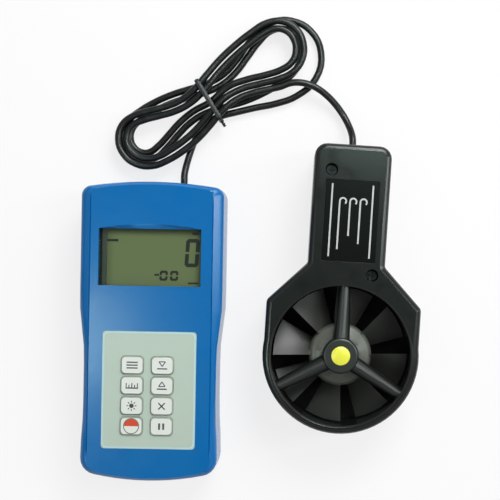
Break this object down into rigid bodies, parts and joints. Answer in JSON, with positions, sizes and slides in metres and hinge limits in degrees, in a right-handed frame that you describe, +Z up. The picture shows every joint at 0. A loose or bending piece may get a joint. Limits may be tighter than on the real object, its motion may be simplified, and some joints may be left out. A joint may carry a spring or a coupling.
{
  "type": "vane anemometer",
  "caption": "Handheld vane anemometer: a waisted case with display and keypad, joined by a tied hank of cord to a handled ring in which a bladed impeller turns.",
  "frame": {"origin": "middle of the meter's flat back, which rests on the table", "axes": "+Z up out of the display face, +Y from the meter's foot to its cord end, +X from the meter to the probe"},
  "size_m": [0.1597, 0.2256, 0.031],
  "materials": {
    "case_blue": "moulded, fine grain",
    "probe_black": "moulded, satin",
    "rotor_plastic": "moulded, satin",
    "dark_plastic": "moulded",
    "white_plastic": "moulded",
    "key_white": "satin caps",
    "keypad_film": "printed film",
    "label_film": "printed film",
    "window": "clear plate",
    "lcd_glass": "liquid crystal cell",
    "elastomer": "striped elastomer",
    "board": "solder mask",
    "steel": "plated",
    "bush": "sintered",
    "ferrite": "sintered ferrite",
    "cell_can": "printed sleeve",
    "ribbon_film": "flat flexible circuit",
    "dot_paint": "coloured disc",
    "cord_rubber": "flexible jacket",
    "tie_plastic": "twist tie"
  },
  "bodies": {
    "meter_and_probe": {"front_shell": "case_blue", "rear_shell": "case_blue", "case_screws": "steel", "board_screws": "steel", "probe_screws": "steel", "battery_contacts": "steel", "battery_springs": "steel", "display_window": "window", "lcd_panel": "lcd_glass", "lcd_frame": "dark_plastic", "backlight_plate": "white_plastic", "connector_strips": "elastomer", "main_board": "board", "pickup_board": "board", "board_chips": "dark_plastic", "switch_housings": "dark_plastic", "keypad_overlay": "keypad_film", "cord_header": "white_plastic", "meter_grommet": "cord_rubber", "probe_grommet": "cord_rubber", "battery_cells": "cell_can", "probe_front_shell": "probe_black", "probe_rear_shell": "probe_black", "probe_label": "label_film", "front_spider": "probe_black", "rear_spider": "probe_black", "front_bearing": "bush", "rear_bearing": "bush", "hub_dot": "dot_paint", "hall_sensor": "dark_plastic", "sensor_ribbon": "ribbon_film", "cord_meter_lead": "cord_rubber", "cord_hank": "cord_rubber", "cord_probe_lead": "cord_rubber", "cord_tie": "tie_plastic"},
    "rotor": {"impeller": "rotor_plastic", "rotor_shaft": "steel", "rotor_magnet": "ferrite"},
    "cover": {"battery_cover": "case_blue"},
    "function_button": {"function_key": "key_white", "function_plunger": "dark_plastic"},
    "unit_button": {"unit_key": "key_white", "unit_plunger": "dark_plastic"},
    "light_button": {"light_key": "key_white", "light_plunger": "dark_plastic"},
    "power_button": {"power_key": "key_white", "power_plunger": "dark_plastic"},
    "down_button": {"down_key": "key_white", "down_plunger": "dark_plastic"},
    "up_button": {"up_key": "key_white", "up_plunger": "dark_plastic"},
    "clear_button": {"clear_key": "key_white", "clear_plunger": "dark_plastic"},
    "hold_button": {"hold_key": "key_white", "hold_plunger": "dark_plastic"}
  },
  "joints": [
    {"name": "rotor_spin", "type": "hinge", "parent": "meter_and_probe", "child": "rotor", "pos_m": [0.0888, -0.01, 0.0139], "axis": [0, 0, 1], "continuous": true},
    {"name": "cover_slide", "type": "slide", "parent": "meter_and_probe", "child": "cover", "axis": [0, -1, 0], "range_m": [0, 0.04]},
    {"name": "function_press", "type": "slide", "parent": "meter_and_probe", "child": "function_button", "axis": [0, 0, -1], "range_m": [0, 0.0004], "stiffness_N_per_m": 1500, "springref_m": -0.0004},
    {"name": "unit_press", "type": "slide", "parent": "meter_and_probe", "child": "unit_button", "axis": [0, 0, -1], "range_m": [0, 0.0004], "stiffness_N_per_m": 1500, "springref_m": -0.0004},
    {"name": "light_press", "type": "slide", "parent": "meter_and_probe", "child": "light_button", "axis": [0, 0, -1], "range_m": [0, 0.0004], "stiffness_N_per_m": 1500, "springref_m": -0.0004},
    {"name": "power_press", "type": "slide", "parent": "meter_and_probe", "child": "power_button", "axis": [0, 0, -1], "range_m": [0, 0.0004], "stiffness_N_per_m": 1500, "springref_m": -0.0004},
    {"name": "down_press", "type": "slide", "parent": "meter_and_probe", "child": "down_button", "axis": [0, 0, -1], "range_m": [0, 0.0004], "stiffness_N_per_m": 1500, "springref_m": -0.0004},
    {"name": "up_press", "type": "slide", "parent": "meter_and_probe", "child": "up_button", "axis": [0, 0, -1], "range_m": [0, 0.0004], "stiffness_N_per_m": 1500, "springref_m": -0.0004},
    {"name": "clear_press", "type": "slide", "parent": "meter_and_probe", "child": "clear_button", "axis": [0, 0, -1], "range_m": [0, 0.0004], "stiffness_N_per_m": 1500, "springref_m": -0.0004},
    {"name": "hold_press", "type": "slide", "parent": "meter_and_probe", "child": "hold_button", "axis": [0, 0, -1], "range_m": [0, 0.0004], "stiffness_N_per_m": 1500, "springref_m": -0.0004}
  ]
}
